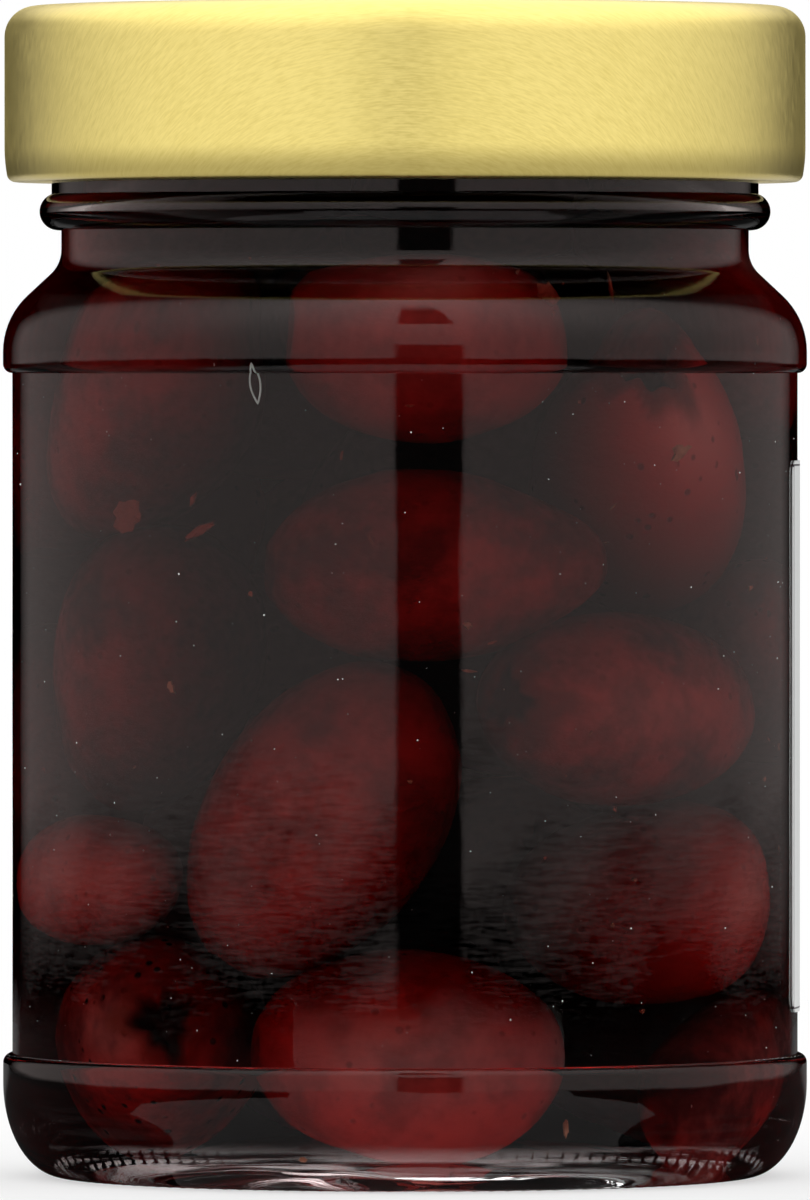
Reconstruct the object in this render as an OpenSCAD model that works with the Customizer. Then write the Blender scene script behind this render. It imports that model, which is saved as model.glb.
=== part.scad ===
// Wide-mouth glass jar of olives in dark brine, with a deep twist-off lid and a paper label
// wrapped round its back. The jar stands on Z = 0 with its axis on Z, and its bare front,
// where the olives show, faces -Y.

/* [Jar body] */
// Diameter of the heel and shoulder bands, the widest glass
body_d = 73.7; // [60:0.1:110]
// Height of the glass, from the bearing ring to the rim
jar_h = 106.9; // [80:0.1:180]
// Thickness of the side wall
wall = 2.2; // [1.6:0.1:3.2]
// How far the label panel is set in from the two bands
panel_inset = 0.85; // [0.4:0.05:1.5]
// Height of the heel band, up to the label panel
heel_h = 11.3; // [8:0.1:16]
// Height of the straight part of the shoulder band
shoulder_h = 1.1; // [0.5:0.1:6]

/* [Shoulder and neck] */
// How far the neck is set in from the label panel
neck_inset = 4.5; // [3:0.1:8]
// Height of the narrow neck below the bead
neck_h = 1.8; // [1:0.1:5]
// Radius of the hollow curve where the neck turns outwards
neck_fillet = 3; // [1.5:0.1:5]
// Radius of the full curve at the top of the shoulder
shoulder_round = 7; // [5:0.1:10]
// Steepest turn of the shoulder away from the vertical, in degrees
shoulder_slope = 47; // [35:1:70]
// Radius of the bead's section
bead_round = 1.7; // [1.4:0.1:2.4]
// How far the bead stands out from the neck
bead_out = 2.0; // [1.4:0.1:2.6]
// How far the finish under the lid stands out from the neck
finish_out = 0.9; // [0.5:0.1:1.3]
// Height of the finish, from the bead to the rim
finish_h = 16.8; // [10:0.1:24]
// Radius of the rim's two edges
rim_round = 0.9; // [0.4:0.1:1.1]

/* [Base] */
// Height of the curve that turns the heel into the base
heel_round_h = 8.6; // [4:0.1:12]
// Width of that curve, from the band in to the bearing ring
heel_round_w = 5.4; // [3:0.1:7]
// Width of the flat bearing ring
ring_w = 1.2; // [0.6:0.1:3]
// Height of the step just inside the bearing ring
ring_step = 0.5; // [0.3:0.1:1]
// Height of the underside's centre above the bearing ring
push_up = 2.4; // [1:0.1:5]
// Thickness of the base
base_t = 2.1; // [1.5:0.1:4]
// Radius of the inner corner between wall and floor
floor_round = 6; // [3:0.1:9]

/* [Lid] */
// Height of the lid
lid_h = 16.1; // [9:0.1:18]
// Thickness of the lid's sheet
lid_t = 0.3; // [0.2:0.05:0.5]
// Free space between the finish and the lid's skirt
skirt_gap = 4.0; // [3.2:0.1:5]
// Radius of the lid's upper corner
lid_corner = 2.8; // [1:0.1:3.2]
// Outer radius of the curl at the lid's lower edge
curl_round = 0.8; // [0.6:0.05:1]
// How far the curl is rolled up, in degrees
curl_turn = 285; // [180:5:290]
// Depth of the recess in the lid's top
recess_depth = 0.7; // [0.3:0.1:1]
// Free space between the recess and the jar's mouth
recess_gap = 1.8; // [1:0.1:4]
// Diameter of the round button in the middle of the recess
button_d = 26; // [16:1:40]
// Height of the button above the recess
button_rise = 0.4; // [0.2:0.05:0.5]
// Width of the slopes round the recess and the button
top_slope_w = 1.2; // [0.8:0.1:2]

/* [Contents] */
// Free space between the brine and the rim
headspace = 4.0; // [3:0.1:12]
// Clearance between the brine and the glass
fill_gap = 0.1; // [0.05:0.05:0.3]

/* [Label] */
// Angle that the label covers
label_arc = 185; // [90:1:340]
// Angle of the label's first edge, counted from +X
label_start = -11.6; // [-90:0.1:90]
// Bare glass between the heel band and the label
label_below = 3.9; // [1:0.1:12]
// Bare glass between the label and the shoulder band
label_above = 8.0; // [1:0.1:14]
// Radius of the label's corners
label_round = 1.5; // [0.5:0.1:5]
// Thickness of the paper
label_t = 0.15; // [0.08:0.01:0.3]
// Thickness of the glue under the paper
label_glue = 0.05; // [0.03:0.01:0.1]

/* [Hidden] */
$fn = 120;

// Steps in each computed curve
steps = 10;

// Radii of the glass
body_r = body_d / 2;
panel_r = body_r - panel_inset;
inside_r = panel_r - wall;
neck_r = panel_r - neck_inset;
mouth_r = neck_r - wall;
finish_r = neck_r + finish_out;
bead_r = neck_r + bead_out - bead_round;

// Radii of the base: bearing ring, its inner edge and the underside's dome
ring_out_r = body_r - heel_round_w;
ring_in_r = ring_out_r - ring_w;
dome_r = ring_in_r - ring_step;
floor_r = inside_r - floor_round;

// Heights of the glass
heel_rise = min(heel_round_h, heel_h - panel_inset);
bead_z = jar_h - finish_h - bead_round;
neck_low_z = bead_z - bead_round - neck_h;
shoulder_z = neck_low_z - flare_h(body_r - neck_r, neck_fillet + shoulder_round);
panel_top_z = shoulder_z - shoulder_h - panel_inset;

// The lid's sizes
lid_r = finish_r + skirt_gap + lid_t;
lid_top_z = jar_h + lid_t;
lid_low_z = lid_top_z - lid_h;
recess_r = mouth_r - recess_gap;
button_r = button_d / 2;

// The label's place
label_r = panel_r + label_glue;
label_z = heel_h + label_below;
label_h = panel_top_z - label_above - label_z;
label_steps = 60;

// Height of the underside above the bearing ring's plane
function dome_z(r) = push_up - (push_up - ring_step) * pow(r / dome_r, 2);

// Points of an arc, from angle a to angle b
function arc(centre, radius, a, b) =
    [for (i = [0 : steps]) let (t = a + (b - a) * i / steps) centre + radius * [cos(t), sin(t)]];

// A list of points from its last to its first
function backwards(points) = [for (i = [len(points) - 1 : -1 : 0]) points[i]];

// Smooth rise from 0 to 1
function ease(t) = let (c = max(0, min(1, t))) c * c * (3 - 2 * c);

// Steepest angle of a shoulder that goes out by run, with both curve radii added up
function flare_angle(run, radii) =
    run < radii * (1 - cos(shoulder_slope)) ? acos(1 - run / radii) : shoulder_slope;

// Length of the straight slope between the shoulder's two curves
function flare_slope(run, radii) =
    let (a = flare_angle(run, radii)) (run - radii * (1 - cos(a))) / sin(a);

// Height of the shoulder from the neck down to the full width
function flare_h(run, radii) =
    let (a = flare_angle(run, radii)) radii * sin(a) + flare_slope(run, radii) * cos(a);

// The shoulder's outline from the full width r_out up to the neck r_in, which starts at z_top
function flare(r_in, r_out, z_top, fillet, round) =
    let (
        run = r_out - r_in,
        a = flare_angle(run, fillet + round),
        z_low = z_top - flare_h(run, fillet + round)
    )
    concat(
        arc([r_out - round, z_low], round, 0, a),
        arc([r_in + fillet, z_top], fillet, 180 + a, 180)
    );

// The underside, from the axis to the bearing ring
function underside() = concat(
    [for (i = [0 : steps]) let (r = dome_r * i / steps) [r, dome_z(r)]],
    arc([ring_in_r, ring_step], ring_step, 180, 270)
);

// The heel: an elliptic curve up to the band, then the band's rounded upper edge
function heel() = concat(
    [for (i = [0 : steps]) let (t = -90 + 90 * i / steps)
        [ring_out_r + heel_round_w * cos(t), heel_rise * (1 + sin(t))]],
    arc([panel_r, heel_h - panel_inset], panel_inset, 0, 90)
);

// The shoulder band, the shoulder and the neck's bead
function upper() =
    let (
        low = acos((neck_r - bead_r) / bead_round),
        high = acos((finish_r - bead_r) / bead_round)
    )
    concat(
        arc([panel_r, panel_top_z + panel_inset], panel_inset, -90, 0),
        flare(neck_r, body_r, neck_low_z, neck_fillet, shoulder_round),
        arc([bead_r, bead_z], bead_round, -low, high)
    );

// The rim, from the finish over to the mouth
function rim() = concat(
    arc([finish_r - rim_round, jar_h - rim_round], rim_round, 0, 90),
    arc([mouth_r + rim_round, jar_h - rim_round], rim_round, 90, 180)
);

// The inside of the glass from the floor's middle up to the neck, moved inwards by gap
function inside(gap) = concat(
    [for (i = [0 : steps]) let (r = floor_r * i / steps) [r, dome_z(r) + base_t + gap]],
    arc([floor_r, dome_z(floor_r) + base_t + floor_round], floor_round - gap, -90, 0),
    flare(mouth_r - gap, inside_r - gap, neck_low_z, neck_fillet + wall + gap,
          shoulder_round - wall - gap)
);

// Height of the lid's top face at radius r
function lid_face_z(r) = lid_top_z
    - recess_depth * ease((recess_r - r) / top_slope_w)
    + button_rise * ease((button_r - r) / top_slope_w);

// One face of the lid's sheet from the middle of the top to the end of the curl, with the
// inner face at a depth of one sheet
function lid_face(depth) = concat(
    [[0, lid_face_z(0) - depth]],
    [for (edge = [button_r, recess_r], i = [0 : steps])
        let (r = edge - top_slope_w * (1 - i / steps)) [r, lid_face_z(r) - depth]],
    arc([lid_r - lid_corner, lid_top_z - lid_corner], lid_corner - depth, 90, 0),
    arc([lid_r - curl_round, lid_low_z + curl_round], curl_round - depth, 0, -curl_turn)
);

// The label's columns from end to end: each one's angle, and how far the rounded corner cuts it
// short at the top and the bottom
function label_columns() =
    let (turn = 180 / (PI * label_r), corner = turn * label_round)
    concat(
        [for (i = [0 : steps]) let (t = 90 * i / steps)
            [corner * (1 - cos(t)), label_round * (1 - sin(t))]],
        [for (i = [1 : label_steps - 1]) [corner + (label_arc - 2 * corner) * i / label_steps, 0]],
        [for (i = [0 : steps]) let (t = 90 * i / steps)
            [label_arc - corner * (1 - sin(t)), label_round * (1 - cos(t))]]
    );

// The glass jar: bearing ring and push-up, heel band, label panel, shoulder, bead and finish
module jar() {
    color([0.80, 0.88, 0.86, 0.35])
        rotate_extrude()
            polygon(concat(underside(), heel(), upper(), rim(), backwards(inside(0))));
}

// The brine with the olives in it, up to its level in the neck
module brine() {
    fill_z = jar_h - headspace;
    color([0.28, 0.04, 0.05])
        rotate_extrude()
            polygon(concat(inside(fill_gap), [[mouth_r - fill_gap, fill_z], [0, fill_z]]));
}

// The deep twist-off lid: one sheet with a recessed top, a button, a skirt and a curl
module lid() {
    color([0.86, 0.77, 0.45])
        rotate_extrude()
            polygon(concat(lid_face(0), backwards(lid_face(lid_t))));
}

// The paper label, wrapped round the back of the label panel. Each column across it has four
// points: the inner and the outer face, at its lower and its upper end.
module label() {
    points = [for (column = label_columns(), point = [
            [label_r, label_z + column[1]],
            [label_r + label_t, label_z + column[1]],
            [label_r + label_t, label_z + label_h - column[1]],
            [label_r, label_z + label_h - column[1]]
        ])
        [point[0] * cos(column[0]), point[0] * sin(column[0]), point[1]]];
    last = len(points) - 4;
    sides = [for (i = [0 : 4 : last - 4], k = [0 : 3])
        let (next = (k + 1) % 4) [i + k, i + next, i + 4 + next, i + 4 + k]];
    ends = [[3, 2, 1, 0], [last, last + 1, last + 2, last + 3]];
    color([0.93, 0.93, 0.91])
        rotate([0, 0, label_start])
            polyhedron(points, concat(sides, ends));
}

jar();
brine();
lid();
label();
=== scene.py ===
import math

import bpy
import numpy as np
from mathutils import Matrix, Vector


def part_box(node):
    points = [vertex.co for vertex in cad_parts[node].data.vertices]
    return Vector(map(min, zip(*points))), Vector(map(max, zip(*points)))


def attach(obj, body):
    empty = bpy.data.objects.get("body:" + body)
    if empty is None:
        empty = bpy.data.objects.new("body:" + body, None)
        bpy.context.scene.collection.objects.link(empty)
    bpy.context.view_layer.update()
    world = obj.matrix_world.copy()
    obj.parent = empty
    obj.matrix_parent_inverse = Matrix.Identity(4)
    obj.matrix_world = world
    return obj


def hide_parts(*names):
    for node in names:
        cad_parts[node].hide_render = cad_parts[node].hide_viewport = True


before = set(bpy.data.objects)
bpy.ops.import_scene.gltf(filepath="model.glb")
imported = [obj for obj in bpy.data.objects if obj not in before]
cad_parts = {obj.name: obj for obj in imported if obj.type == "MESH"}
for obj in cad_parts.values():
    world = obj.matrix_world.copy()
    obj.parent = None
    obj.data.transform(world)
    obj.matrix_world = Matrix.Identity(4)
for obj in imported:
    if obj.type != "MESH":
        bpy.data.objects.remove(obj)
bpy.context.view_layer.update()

# Shapes are worked out in millimetres, with the jar's axis on Z and its front towards -Y.
MM = 0.001
FULL_TURN = 2 * math.pi


def node_box(node):
    """Lowest and highest corner of a CAD node, in millimetres."""
    low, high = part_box(node)
    return low / MM, high / MM


JAR_HIGH = node_box("jar")[1]
LID_LOW, LID_HIGH = node_box("lid")
BRINE_HIGH = node_box("brine")[1]
LABEL_LOW, LABEL_HIGH = node_box("label")

# ---- sizes of the glass, mm
BODY_R = JAR_HIGH.x
RIM_Z = JAR_HIGH.z
WALL = 2.2
PANEL_INSET = 0.85
PANEL_R = BODY_R - PANEL_INSET
INSIDE_R = PANEL_R - WALL
HEEL_H = 11.3
HEEL_ROUND_H = 8.6
HEEL_ROUND_W = 5.4
RING_W = 1.2
RING_STEP = 0.5
RING_OUT_R = BODY_R - HEEL_ROUND_W
RING_IN_R = RING_OUT_R - RING_W
DOME_R = RING_IN_R - RING_STEP
PUSH_UP = 2.4
BASE_T = 2.1
FLOOR_ROUND = 6.0
FLOOR_R = INSIDE_R - FLOOR_ROUND
NECK_INSET = 4.5
NECK_R = PANEL_R - NECK_INSET
NECK_H = 1.8
NECK_FILLET = 3.0
SHOULDER_ROUND = 7.0
SHOULDER_SLOPE = 47.0
SHOULDER_H = 1.1
MOUTH_R = NECK_R - WALL
FINISH_OUT = 0.9
FINISH_R = NECK_R + FINISH_OUT
FINISH_H = 16.8
RIM_ROUND = 0.9
BEAD_ROUND = 1.7
BEAD_OUT = 2.0
BEAD_R = NECK_R + BEAD_OUT - BEAD_ROUND
BEAD_Z = RIM_Z - FINISH_H - BEAD_ROUND
NECK_LOW_Z = BEAD_Z - BEAD_ROUND - NECK_H
FILL_Z = BRINE_HIGH.z

# ---- sizes of the lid, mm
LID_R = LID_HIGH.x
LID_TOP_Z = LID_HIGH.z
LID_LOW_Z = LID_LOW.z
LID_T = 0.3
# How far, and over what height, the skirt leans in above its curl.
LID_TUCK = 0.2
LID_TUCK_H = 2.4
LID_CORNER = 2.8
CURL_ROUND = 0.8
CURL_TURN = 285.0
RECESS_R = 27.5
RECESS_DEPTH = 0.7
BUTTON_R = 13.0
BUTTON_RISE = 0.4
TOP_SLOPE_W = 1.2


# ---- outlines, (r, z)
def arc(centre, radius, start, end, step=6.0):
    """Points of an arc, with its angles in degrees."""
    count = max(2, round(abs(end - start) / step) + 1)
    turn = np.radians(np.linspace(start, end, count))
    return [(centre[0] + radius * math.cos(a), centre[1] + radius * math.sin(a)) for a in turn]


def run(start, end, step=2.6, lead=0.35):
    """Points between two ends of a straight stretch, with one close to each end."""
    start, end = np.array(start), np.array(end)
    length = np.linalg.norm(end - start)
    count = max(2, round(length / step))
    shares = np.linspace(lead / length, 1 - lead / length, count)
    return [tuple(start + (end - start) * share) for share in shares]


def ease(x):
    """0 below 0, 1 above 1, and smooth between them."""
    x = np.clip(x, 0, 1)
    return x * x * (3 - 2 * x)


def flare(inner_r, outer_r, top_z, fillet, rounding, step=5.0):
    """The shoulder's S curve, from the body's edge up to the neck."""
    width = outer_r - inner_r
    radii = fillet + rounding
    steepest = math.radians(SHOULDER_SLOPE)
    short = width < radii * (1 - math.cos(steepest))
    angle = math.acos(1 - width / radii) if short else steepest
    slope = (width - radii * (1 - math.cos(angle))) / math.sin(angle)
    low_z = top_z - radii * math.sin(angle) - slope * math.cos(angle)
    turn = math.degrees(angle)
    lower = arc((outer_r - rounding, low_z), rounding, 0, turn, step)
    upper = arc((inner_r + fillet, top_z), fillet, 180 + turn, 180, step)
    return lower + upper


def dome_z(r):
    """Height of the pushed-up underside at a radius."""
    return PUSH_UP - (PUSH_UP - RING_STEP) * (r / DOME_R) ** 2


COARSE_R = 18.0
FINE_R = 20.0


def base_radii(outer_r, count):
    """Radii across the base: a few in its middle and more from FINE_R out."""
    return (*np.linspace(0, COARSE_R, 6), *np.linspace(FINE_R, outer_r, count))


def outside_outline():
    """The glass from the underside's centre to the top of its rim."""
    dome = [(r, dome_z(r)) for r in base_radii(DOME_R, 15)]
    ring = arc((RING_IN_R, RING_STEP), RING_STEP, 180, 270, 30)
    sweep = np.radians(np.linspace(-90, 0, 26))
    heel = [(RING_OUT_R + HEEL_ROUND_W * math.cos(t), HEEL_ROUND_H * (1 + math.sin(t))) for t in sweep]
    heel_top = arc((PANEL_R, HEEL_H - PANEL_INSET), PANEL_INSET, 0, 90, 10)
    shoulder = flare(NECK_R, BODY_R, NECK_LOW_Z, NECK_FILLET, SHOULDER_ROUND)
    panel_top_z = shoulder[0][1] - SHOULDER_H - PANEL_INSET
    crease = arc((PANEL_R, panel_top_z + PANEL_INSET), PANEL_INSET, -90, 0, 10)
    panel = run(heel_top[-1], crease[0])
    bead_low = -math.degrees(math.acos((NECK_R - BEAD_R) / BEAD_ROUND))
    bead_high = math.degrees(math.acos((FINISH_R - BEAD_R) / BEAD_ROUND))
    bead = arc((BEAD_R, BEAD_Z), BEAD_ROUND, bead_low, bead_high, 8)
    rim = arc((FINISH_R - RIM_ROUND, RIM_Z - RIM_ROUND), RIM_ROUND, 0, 180, 15)
    return dome + ring + heel + heel_top + panel + crease + shoulder + bead + rim


def inside_outline(grow=0.0):
    """The glass's inside from the floor's centre to its mouth, moved into the wall by grow."""
    low = BASE_T - grow
    floor = [(r, dome_z(r) + low) for r in base_radii(FLOOR_R, 9)]
    corner_z = dome_z(FLOOR_R) + BASE_T + FLOOR_ROUND
    corner = arc((FLOOR_R, corner_z), FLOOR_ROUND + grow, -90, 0, 7)
    fillet = NECK_FILLET + WALL - grow
    rounding = SHOULDER_ROUND - WALL + grow
    shoulder = flare(MOUTH_R + grow, INSIDE_R + grow, NECK_LOW_Z, fillet, rounding)
    return floor + corner[1:] + run(corner[-1], shoulder[0], 6.0) + shoulder


def lid_face(depth):
    """One face of the lid's sheet, from the centre to the curl's end, depth below the outer one."""
    radii = np.concatenate([
        np.linspace(0, BUTTON_R - TOP_SLOPE_W, 8),
        np.linspace(BUTTON_R - TOP_SLOPE_W, BUTTON_R, 7)[1:],
        np.linspace(BUTTON_R, RECESS_R - TOP_SLOPE_W, 8)[1:],
        np.linspace(RECESS_R - TOP_SLOPE_W, RECESS_R, 7)[1:],
        np.linspace(RECESS_R, LID_R - LID_CORNER, 6)[1:-1],
    ])
    recess = RECESS_DEPTH * ease((RECESS_R - radii) / TOP_SLOPE_W)
    button = BUTTON_RISE * ease((BUTTON_R - radii) / TOP_SLOPE_W)
    top = list(zip(radii, LID_TOP_Z - recess + button - depth))
    corner = arc((LID_R - LID_CORNER, LID_TOP_Z - LID_CORNER), LID_CORNER - depth, 90, 0, 6)
    curl_centre = (LID_R - LID_TUCK - CURL_ROUND, LID_LOW_Z + CURL_ROUND)
    curl = arc(curl_centre, CURL_ROUND - depth, 0, -CURL_TURN, 15)
    tuck = [(LID_R - depth - LID_TUCK * share ** 2, curl_centre[1] + LID_TUCK_H * (1 - share))
            for share in np.linspace(0, 1, 9)[:-1]]
    return top + corner + run(corner[-1], tuck[0], 2.0) + tuck + curl


# ---- mesh building
TINY = 1e-6


def lathe(outline, segments):
    """Points and faces of an outline turned about Z. Ends on the axis close to one point."""
    outline = np.array(outline, float)
    turn = np.arange(segments) * FULL_TURN / segments
    on_axis = outline[:, 0] < TINY
    points, rings = [], []
    for (r, z), single in zip(outline, on_axis):
        rings.append((len(points), single))
        ring_turn = turn[:1] if single else turn
        points.extend((r * math.sin(a), -r * math.cos(a), z) for a in ring_turn)
    faces = []
    for (low, low_single), (high, high_single) in zip(rings, rings[1:]):
        for j in range(segments):
            k = (j + 1) % segments
            if low_single:
                faces.append((low, high + k, high + j))
            elif high_single:
                faces.append((low + j, low + k, high))
            else:
                faces.append((low + j, low + k, high + k, high + j))
    return np.array(points), faces


def add_piece(name, points, faces, materials, replaces=(), sharp=40.0):
    """A mesh piece from points in millimetres, riding on the jar's one body."""
    mesh = bpy.data.meshes.new(name)
    mesh.from_pydata((np.asarray(points) * MM).tolist(), [], faces)
    mesh.shade_smooth()
    mesh.set_sharp_from_angle(angle=math.radians(sharp))
    for material in materials:
        mesh.materials.append(material)
    piece = bpy.data.objects.new(name, mesh)
    bpy.context.scene.collection.objects.link(piece)
    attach(piece, "root")
    if replaces:
        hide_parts(*replaces)
    return piece


def point_attribute(piece, name, values):
    """Stores one number for each point of a mesh."""
    layer = piece.data.attributes.new(name, "FLOAT", "POINT")
    layer.data.foreach_set("value", np.asarray(values, np.float32))


# ---- node building
class Nodes:
    """Adds nodes to one tree. Inputs are sockets, numbers or colours."""

    def __init__(self, owner):
        owner.use_nodes = True
        self.tree = owner.node_tree
        self.tree.nodes.clear()

    def add(self, kind, inputs=None, **settings):
        node = self.tree.nodes.new(kind)
        for name, value in settings.items():
            setattr(node, name, value)
        for name, value in (inputs or {}).items():
            self.feed(node.inputs[name], value)
        return node

    def feed(self, socket, value):
        if isinstance(value, bpy.types.NodeSocket):
            self.tree.links.new(value, socket)
        elif socket.type == "RGBA" and len(value) == 3:
            socket.default_value = (*value, 1)
        else:
            socket.default_value = value

    def math(self, operation, *values):
        node = self.add("ShaderNodeMath", operation=operation)
        for socket, value in zip(node.inputs, values):
            self.feed(socket, value)
        return node.outputs[0]

    def plus(self, first, second):
        return self.math("ADD", first, second)

    def minus(self, first, second):
        return self.math("SUBTRACT", first, second)

    def times(self, first, second):
        return self.math("MULTIPLY", first, second)

    def smooth(self, value, low, high, to_low=0.0, to_high=1.0):
        """Goes smoothly from to_low to to_high as the value goes from low to high."""
        inputs = {"Value": value, "From Min": low, "From Max": high, "To Min": to_low, "To Max": to_high}
        return self.add("ShaderNodeMapRange", inputs, interpolation_type="SMOOTHSTEP").outputs["Result"]

    def between(self, value, low, high, soft):
        """1 between low and high, and 0 outside them, with soft edges."""
        rise = self.smooth(value, low - soft / 2, low + soft / 2)
        fall = self.smooth(value, high - soft / 2, high + soft / 2, 1.0, 0.0)
        return self.times(rise, fall)

    def steps(self, value, stops):
        """A straight-line curve through (value, result) pairs."""
        low, high = stops[0][0], stops[-1][0]
        share = self.add("ShaderNodeMapRange", {"Value": value, "From Min": low, "From Max": high})
        curve = self.add("ShaderNodeFloatCurve", {"Value": share.outputs["Result"]})
        top = max(result for _, result in stops)
        line = curve.mapping.curves[0]
        while len(line.points) < len(stops):
            line.points.new(0.5, 0.5)
        for point, (at, result) in zip(line.points, stops):
            point.location = ((at - low) / (high - low), result / top)
            point.handle_type = "VECTOR"
        curve.mapping.update()
        return self.times(curve.outputs["Value"], top)

    def distance(self, x, y):
        """How far (x, y) is from the axis."""
        return self.math("SQRT", self.plus(self.times(x, x), self.times(y, y)))

    def blend(self, share, first, second):
        """A number between two."""
        return self.plus(first, self.times(share, self.minus(second, first)))

    def split(self, vector):
        return self.add("ShaderNodeSeparateXYZ", {"Vector": vector}).outputs[:3]

    def join(self, x, y, z):
        return self.add("ShaderNodeCombineXYZ", {"X": x, "Y": y, "Z": z}).outputs[0]

    def scaled(self, vector, scale):
        inputs = {"Vector": vector, "Scale": scale}
        return self.add("ShaderNodeMapping", inputs).outputs[0]

    def noise(self, vector, scale, detail=2.0, roughness=0.5):
        inputs = {"Vector": vector, "Scale": scale, "Detail": detail, "Roughness": roughness}
        return self.add("ShaderNodeTexNoise", inputs).outputs["Fac"]

    def mix(self, share, first, second):
        """A colour between two."""
        node = self.add("ShaderNodeMix", data_type="RGBA")
        self.feed(node.inputs["Factor"], share)
        self.feed(node.inputs[6], first)
        self.feed(node.inputs[7], second)
        return node.outputs[2]

    def mix_shaders(self, share, first, second):
        """A shader between two."""
        node = self.add("ShaderNodeMixShader", {"Fac": share})
        self.feed(node.inputs[1], first)
        self.feed(node.inputs[2], second)
        return node.outputs[0]

    def bump(self, height, strength, distance):
        inputs = {"Height": height, "Strength": strength, "Distance": distance}
        return self.add("ShaderNodeBump", inputs).outputs["Normal"]

    def place(self):
        """The point's place in the object's own frame, in metres."""
        return self.add("ShaderNodeTexCoord").outputs["Object"]

    def attribute(self, name):
        return self.add("ShaderNodeAttribute", attribute_name=name).outputs["Fac"]


def new_material(name):
    material = bpy.data.materials.new(name)
    return material, Nodes(material)


def finish_material(nodes, inputs, volume=None):
    """Ends a material in one principled shader."""
    shader = nodes.add("ShaderNodeBsdfPrincipled", inputs)
    output = nodes.add("ShaderNodeOutputMaterial", {"Surface": shader.outputs[0]})
    if volume is not None:
        nodes.feed(output.inputs["Volume"], volume)


# ---- materials
GLASS_IOR = 1.52
GLASS_TINT = (0.985, 0.99, 0.985)
PEEL_STRENGTH = 0.1
PEEL_HEIGHT = 0.00004
SWELL_HEIGHT = 0.0001
# What is left of a reflection where glass is wet with brine.
WET_TINT = (0.03, 0.03, 0.03)
BRINE_IOR = 1.34
BRINE_RED = (0.81, 0.0, 0.0)
BRINE_DENSITY = 500.0


def clear_inputs(tint, ior, **more):
    """What every clear material says to its shader."""
    return {"Base Color": tint, "Roughness": 0.0, "IOR": ior, "Transmission Weight": 1.0, **more}


def glass_material():
    """Clear moulded glass with a faint orange peel, drawn out upright and, less so, level."""
    material, n = new_material("clear_glass")
    place = n.place()
    upright = n.noise(n.scaled(place, (1.0, 1.0, 0.3)), 1300.0, 1.0)
    level = n.noise(n.scaled(place, (0.3, 0.3, 1.0)), 1500.0, 1.0)
    peel = n.plus(n.times(upright, 0.8), n.times(level, 0.36))
    normal = n.bump(peel, PEEL_STRENGTH, PEEL_HEIGHT)
    finish_material(n, clear_inputs(GLASS_TINT, GLASS_IOR, Normal=normal))
    return material


def wetted_glass_material():
    """The glass's inner wall, where the brine takes away nearly all of its reflection."""
    material, n = new_material("wetted_glass")
    swell = n.noise(n.place(), 120.0, 1.0)
    normal = n.bump(swell, PEEL_STRENGTH, SWELL_HEIGHT)
    inputs = {"Specular Tint": WET_TINT, "Normal": normal}
    finish_material(n, clear_inputs(GLASS_TINT, GLASS_IOR, **inputs))
    return material


def brine_material():
    """Dark red brine, clear but strongly coloured."""
    material, n = new_material("red_brine")
    absorption = n.add("ShaderNodeVolumeAbsorption", {"Color": BRINE_RED, "Density": BRINE_DENSITY})
    inputs = clear_inputs((1, 1, 1), BRINE_IOR, **{"Specular Tint": WET_TINT})
    finish_material(n, inputs, absorption.outputs[0])
    return material


SKIN_DARK = (0.06, 0.010, 0.011)
SKIN_PALE = (0.62, 0.135, 0.115)
PORE_DARK = (0.012, 0.003, 0.003)
FLESH_DARK = (0.09, 0.010, 0.008)
FLESH_PALE = (0.36, 0.055, 0.038)
CLOUD_SPREAD = 0.25
PORE_PATCH = 0.18
PORE_DEPTH = 0.8


def olive_material():
    """Wine-dark olive skin, with paler and redder fruit, fine wrinkles, dark pores and cut flesh."""
    material, n = new_material("olive_skin")
    place = n.place()
    cloud = n.noise(place, 130.0, 4.0, 0.6)
    tone = n.plus(n.attribute("tone"), n.smooth(cloud, 0.3, 0.7, -CLOUD_SPREAD, CLOUD_SPREAD))
    skin = n.mix(n.smooth(tone, 0.0, 1.0), SKIN_DARK, SKIN_PALE)
    pores = n.add("ShaderNodeTexVoronoi", {"Vector": place, "Scale": 560.0})
    dots = n.smooth(pores.outputs["Distance"], 0.12, 0.26, 1.0, 0.0)
    amount = n.attribute("pores")
    patch = n.plus(n.noise(place, 260.0, 1.0), n.times(amount, PORE_PATCH))
    dots = n.times(dots, n.times(n.smooth(patch, 0.58, 0.66), amount))
    skin = n.mix(dots, skin, PORE_DARK)
    rough_flesh = n.mix(cloud, FLESH_DARK, FLESH_PALE)
    colour = n.mix(n.attribute("flesh"), skin, rough_flesh)
    wrinkle = n.noise(n.scaled(place, (1.0, 1.0, 1.8)), 420.0, 3.0, 0.6)
    relief = n.minus(wrinkle, n.times(dots, PORE_DEPTH))
    normal = n.bump(relief, 0.35, 0.0004)
    finish_material(n, {"Base Color": colour, "Roughness": 0.42, "Specular IOR Level": 0.0,
                        "Normal": normal})
    return material


CRUMB_RED = (0.30, 0.030, 0.018)
CRUMB_PALE = (0.75, 0.42, 0.24)
CRUMB_BROWN = (0.22, 0.05, 0.03)
SPECK_GREY = (0.55, 0.50, 0.46)
SPECK_WHITE = (0.9, 0.88, 0.85)


def crumb_material():
    """Torn bits of olive skin and flesh."""
    material, n = new_material("olive_crumbs")
    place = n.place()
    mottle = n.noise(place, 1500.0, 3.0)
    base = n.mix(n.attribute("tone"), CRUMB_RED, CRUMB_PALE)
    colour = n.mix(mottle, base, CRUMB_BROWN)
    normal = n.bump(mottle, 0.5, 0.0003)
    finish_material(n, {"Base Color": colour, "Roughness": 0.6, "Specular IOR Level": 0.1,
                        "Normal": normal})
    return material


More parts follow.
